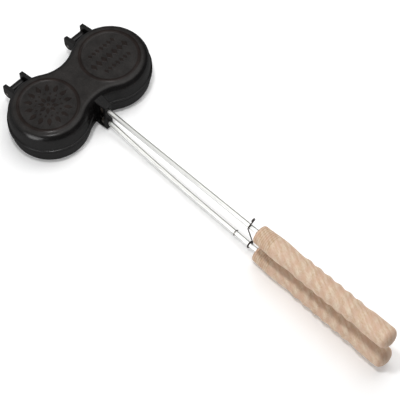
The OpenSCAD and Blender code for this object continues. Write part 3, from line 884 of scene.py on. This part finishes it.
def turned_beech(name, colours, seat, t):
    """Steamed beech, turned, sanded and oiled: dull and pale with pink patches, dark rays, and painted shade in the
    finger hollows and the turned lines.
    """
    material, tree = blank(name + "_beech")
    place = add(tree, "ShaderNodeTexCoord").outputs["Object"]
    # From here on y runs back along the handle from its front end, and the handle's own axis is at 0
    own = add(tree, "ShaderNodeMapping", {"Vector": place, "Location": (0, -seat[0], seat[1]), "Rotation": (-seat[2], 0, 0)},
              vector_type="TEXTURE")
    # The blank was sawn a little across the trunk, so the grain crosses the handle at 27 degrees
    grain = add(tree, "ShaderNodeMapping", {"Vector": own.outputs[0], "Rotation": (0, 0, math.radians(-27)),
                                            "Scale": (1, 3.5, 1)}, vector_type="TEXTURE")
    # Fibres are hair thin; they are drawn 1.4 mm wide
    fibre = add(tree, "ShaderNodeTexNoise", {"Vector": grain.outputs[0], "Scale": 1 / (1.4 * MM), "Detail": 3.0})
    # Growth rings cut by the turning, about 7 mm apart: a wave's period is pi / 10 over its scale
    rings = add(tree, "ShaderNodeTexWave", {"Vector": grain.outputs[0], "Scale": math.pi / 10 / (8 * MM), "Distortion": 9.0,
                                            "Detail": 3.0, "Detail Scale": 1.2})
    rings = add(tree, "ShaderNodeMapRange", {"Value": rings.outputs[1], "To Min": 0.36, "To Max": 0.64})
    # Rays are 0.2 mm by 3 mm flecks; they are drawn 0.8 mm wide
    rays = add(tree, "ShaderNodeTexVoronoi", {"Vector": grain.outputs[0], "Scale": 1 / (2.4 * MM)})
    patch = add(tree, "ShaderNodeTexNoise", {"Vector": grain.outputs[0], "Scale": 1 / (9 * MM), "Detail": 2.0})
    tone = add(tree, "ShaderNodeMath", {0: fibre.outputs[0], 1: rings.outputs[0]}, operation="ADD")
    tone = add(tree, "ShaderNodeMapRange", {"Value": tone.outputs[0], "From Min": 0.65, "From Max": 1.35})
    wood = add(tree, "ShaderNodeMix", {"Factor": tone.outputs[0], 6: (*colours.beech_light, 1), 7: (*colours.beech_dark, 1)},
               data_type="RGBA")
    fleck = add(tree, "ShaderNodeMapRange", {"Value": rays.outputs[0], "From Min": 0.3, "From Max": 0.12, "To Max": 0.25})
    back = add(tree, "ShaderNodeSeparateXYZ", {0: own.outputs[0]}).outputs[1]
    back = add(tree, "ShaderNodeMath", {0: back, 1: -1.0}, operation="MULTIPLY").outputs[0]
    # The finger hollows are painted pinker and darker than the ridges between them: painted shade in the hollows
    hollow = add(tree, "ShaderNodeMath", {0: back, 1: t.hollow_start}, operation="SUBTRACT")
    hollow = add(tree, "ShaderNodeMath", {0: hollow.outputs[0], 1: t.hollow_pitch / 2}, operation="PINGPONG")
    hollow = add(tree, "ShaderNodeMapRange", {"Value": hollow.outputs[0], "From Min": t.hollow_pitch / 2, "From Max": 0.0,
                                              "To Max": 0.4})
    pink = add(tree, "ShaderNodeMath", {0: patch.outputs[0], 1: hollow.outputs[0]}, operation="ADD")
    pink = add(tree, "ShaderNodeMapRange", {"Value": pink.outputs[0], "From Min": 0.5, "From Max": 0.9, "To Max": 0.65})
    wood = add(tree, "ShaderNodeMix", {"Factor": pink.outputs[0], 6: wood.outputs[2], 7: (*colours.beech_pink, 1)},
               data_type="RGBA")
    # Painted shade: the wood is darkened along each turned line so that the grooves read darker
    line = add(tree, "ShaderNodeMath", {0: back, 1: t.line_start}, operation="SUBTRACT")
    line = add(tree, "ShaderNodeMath", {0: line.outputs[0], 1: t.line_pitch / 2}, operation="PINGPONG")
    line = add(tree, "ShaderNodeMapRange", {"Value": line.outputs[0], "From Min": 0.9 * MM, "From Max": 0.3 * MM,
                                            "To Max": 0.35})
    last = t.line_start + (t.line_count - 0.5) * t.line_pitch
    front = add(tree, "ShaderNodeMath", {0: back, 1: last}, operation="LESS_THAN")
    line = add(tree, "ShaderNodeMath", {0: line.outputs[0], 1: front.outputs[0]}, operation="MULTIPLY")
    # The rays' dark flecks are the wood's own; the darkening in the turned lines is painted shade
    dark = add(tree, "ShaderNodeMath", {0: line.outputs[0], 1: fleck.outputs[0]}, operation="MAXIMUM")
    colour = add(tree, "ShaderNodeMix", {"Factor": dark.outputs[0], 6: wood.outputs[2], 7: (*colours.beech_groove, 1)},
                 data_type="RGBA")
    bump = add(tree, "ShaderNodeBump", {"Height": fibre.outputs[0], "Strength": 0.15, "Distance": 0.1 * MM})
    shader = add(tree, "ShaderNodeBsdfPrincipled", {"Base Color": colour.outputs[2], "Roughness": 0.5,
                                                    "Specular IOR Level": 0.22, "Normal": bump.outputs[0]})
    add(tree, "ShaderNodeOutputMaterial", {"Surface": shader.outputs[0]})
    return material


def blackened_steel(name, colours):
    """Oil-blackened steel wire and nuts: a thin dark brown skin over steel, dull where it rubs."""
    material, tree = blank(name)
    place = add(tree, "ShaderNodeTexCoord").outputs["Object"]
    scale = add(tree, "ShaderNodeTexNoise", {"Vector": place, "Scale": 1 / (2 * MM), "Detail": 3.0})
    colour = add(tree, "ShaderNodeMix", {"Factor": scale.outputs[0], 6: (*(0.5 * c for c in colours.wire), 1),
                                         7: (*colours.wire, 1)}, data_type="RGBA")
    rough = add(tree, "ShaderNodeMapRange", {"Value": scale.outputs[0], "To Min": 0.35, "To Max": 0.6})
    shader = add(tree, "ShaderNodeBsdfPrincipled", {"Base Color": colour.outputs[2], "Metallic": 0.6,
                                                    "Roughness": rough.outputs[0]})
    add(tree, "ShaderNodeOutputMaterial", {"Surface": shader.outputs[0]})
    return material


def dress(obj, material, body, node):
    """Gives a finished piece its material and its place in the frame."""
    obj.data.materials.clear()
    obj.data.materials.append(material)
    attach(obj, body)
    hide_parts(node)


# Stage

TARGET = Vector((-4 * MM, -265 * MM, 34.2 * MM))
AZIMUTH = math.radians(-45.2)
ELEVATION = math.radians(60.7)
DISTANCE = 2.251
LENS = 132.7
SHIFT = (0.0075, -0.01)
# Where the soft light of the room comes from, and the side of it that gloss and metal mirror most
BRIGHT_SIDE = (0.55, 0.3, 0.78)
MIRRORED_SIDE = (-0.2, 0.75, 0.63)
# Name, place, width, height and power of each lamp
LAMPS = (
    ("key", (-0.3, -0.25, 2.0), 0.18, 0.18, 13),
    ("top", (0.65, -0.1, 2.0), 1.4, 1.4, 19),
    ("left", (-1.85, -0.3, 0.42), 0.75, 0.55, 12),
    ("card", (-1.6, -0.27, 0.95), 1.0, 0.8, 20),
)


class BURGERIRON_OT_stage(Operator):
    """Sets the floor, the soft lights, the pale surroundings and the camera"""

    bl_idname = "burgeriron.stage"
    bl_label = "Set stage"

    def execute(self, context):
        bpy.ops.mesh.primitive_plane_add(size=12, location=(0, 0, -0.15 * MM))
        floor = bpy.context.active_object
        floor.name = "floor"
        material, tree = blank("pale_floor")
        path = add(tree, "ShaderNodeLightPath")
        seen = add(tree, "ShaderNodeMath", {0: path.outputs["Is Camera Ray"], 1: path.outputs["Is Glossy Ray"]},
                   operation="MAXIMUM")
        seen = add(tree, "ShaderNodeMath", {0: seen.outputs[0], 1: path.outputs["Is Transmission Ray"]}, operation="MAXIMUM")
        glow = add(tree, "ShaderNodeMath", {0: seen.outputs[0], 1: 0.16}, operation="MULTIPLY")
        shader = add(tree, "ShaderNodeBsdfPrincipled", {"Base Color": (*context.scene.iron_finishes.floor, 1),
                                                        "Roughness": 0.9, "Specular IOR Level": 0.1,
                                                        "Emission Color": (1, 1, 1, 1), "Emission Strength": glow.outputs[0]})
        add(tree, "ShaderNodeOutputMaterial", {"Surface": shader.outputs[0]})
        floor.data.materials.append(material)

        for name, spot, width, height, power in LAMPS:
            spot = Vector(spot)
            bpy.ops.object.light_add(type="AREA", location=spot)
            lamp = bpy.context.active_object
            lamp.name = name
            lamp.data.shape = "RECTANGLE"
            lamp.data.size, lamp.data.size_y = width, height
            lamp.data.energy = power
            lamp.rotation_euler = (TARGET - spot).to_track_quat("-Z", "Y").to_euler()
            # The card only shows in gloss and lights nothing, as a white card beside the lamp would
            lamp.visible_diffuse = name != "card"

        world = bpy.data.worlds.new("pale_room")
        context.scene.world = world
        world.use_nodes = True
        tree = world.node_tree
        tree.nodes.clear()
        path = add(tree, "ShaderNodeLightPath")
        seen = add(tree, "ShaderNodeMath", {0: path.outputs["Is Camera Ray"], 1: path.outputs["Is Glossy Ray"]},
                   operation="MAXIMUM")
        seen = add(tree, "ShaderNodeMath", {0: seen.outputs[0], 1: path.outputs["Is Transmission Ray"]}, operation="MAXIMUM")
        way = add(tree, "ShaderNodeTexCoord").outputs["Generated"]
        soft = add(tree, "ShaderNodeVectorMath", {0: way, 1: BRIGHT_SIDE}, operation="DOT_PRODUCT")
        soft = add(tree, "ShaderNodeMapRange", {"Value": soft.outputs["Value"], "From Min": -0.3, "From Max": 0.9,
                                                "To Min": 0.05, "To Max": 0.4})
        clear = add(tree, "ShaderNodeVectorMath", {0: way, 1: MIRRORED_SIDE}, operation="DOT_PRODUCT")
        clear = add(tree, "ShaderNodeMapRange", {"Value": clear.outputs["Value"], "From Min": 0.5, "From Max": 0.86,
                                                 "To Min": 0.18, "To Max": 1.0})
        strength = add(tree, "ShaderNodeMix", {"Factor": seen.outputs[0], 2: soft.outputs[0], 3: clear.outputs[0]})
        back = add(tree, "ShaderNodeBackground", {"Color": (1, 1, 1, 1), "Strength": strength.outputs[0]})
        add(tree, "ShaderNodeOutputWorld", {"Surface": back.outputs[0]})

        eye = Vector((math.sin(AZIMUTH) * math.cos(ELEVATION), -math.cos(AZIMUTH) * math.cos(ELEVATION),
                      math.sin(ELEVATION)))
        bpy.ops.object.camera_add(location=TARGET + eye * DISTANCE)
        camera = bpy.context.active_object
        camera.rotation_euler = eye.to_track_quat("Z", "Y").to_euler()
        camera.data.lens = LENS
        camera.data.sensor_width = 36
        camera.data.shift_x, camera.data.shift_y = SHIFT
        context.scene.camera = camera
        context.scene.view_settings.view_transform = "Standard"
        return {"FINISHED"}


class BURGERIRON_PT_sizes(Panel):
    """Sizes and steps of the burger iron"""

    bl_idname = "BURGERIRON_PT_sizes"
    bl_label = "Double burger iron"
    bl_space_type = "VIEW_3D"
    bl_region_type = "UI"
    bl_category = "Burger iron"

    def draw(self, context):
        for group in GROUPS:
            box_ = self.layout.box()
            box_.label(text=group[5:].capitalize())
            values = getattr(context.scene, group)
            for name in values.__annotations__:
                box_.prop(values, name)
        for step in STEPS:
            self.layout.operator(step.bl_idname)


GROUPS = {
    "iron_castings": CastingSizes,
    "iron_hinges": HingeSizes,
    "iron_rods": RodSizes,
    "iron_handles": HandleSizes,
    "iron_latch": LatchSizes,
    "iron_finishes": Finishes,
}
STEPS = (
    BURGERIRON_OT_castings,
    BURGERIRON_OT_hinge_pins,
    BURGERIRON_OT_rods,
    BURGERIRON_OT_handles,
    BURGERIRON_OT_latch,
    BURGERIRON_OT_stage,
)


def register():
    for kind in (*GROUPS.values(), *STEPS, BURGERIRON_PT_sizes):
        bpy.utils.register_class(kind)
    for name, kind in GROUPS.items():
        setattr(bpy.types.Scene, name, PointerProperty(type=kind))


def unregister():
    for name in GROUPS:
        delattr(bpy.types.Scene, name)
    for kind in reversed((*GROUPS.values(), *STEPS, BURGERIRON_PT_sizes)):
        bpy.utils.unregister_class(kind)


def main():
    register()
    bpy.ops.burgeriron.castings()
    bpy.ops.burgeriron.hinge_pins()
    bpy.ops.burgeriron.rods()
    bpy.ops.burgeriron.handles()
    bpy.ops.burgeriron.latch()
    bpy.ops.burgeriron.stage()


if __name__ == "__main__":
    main()
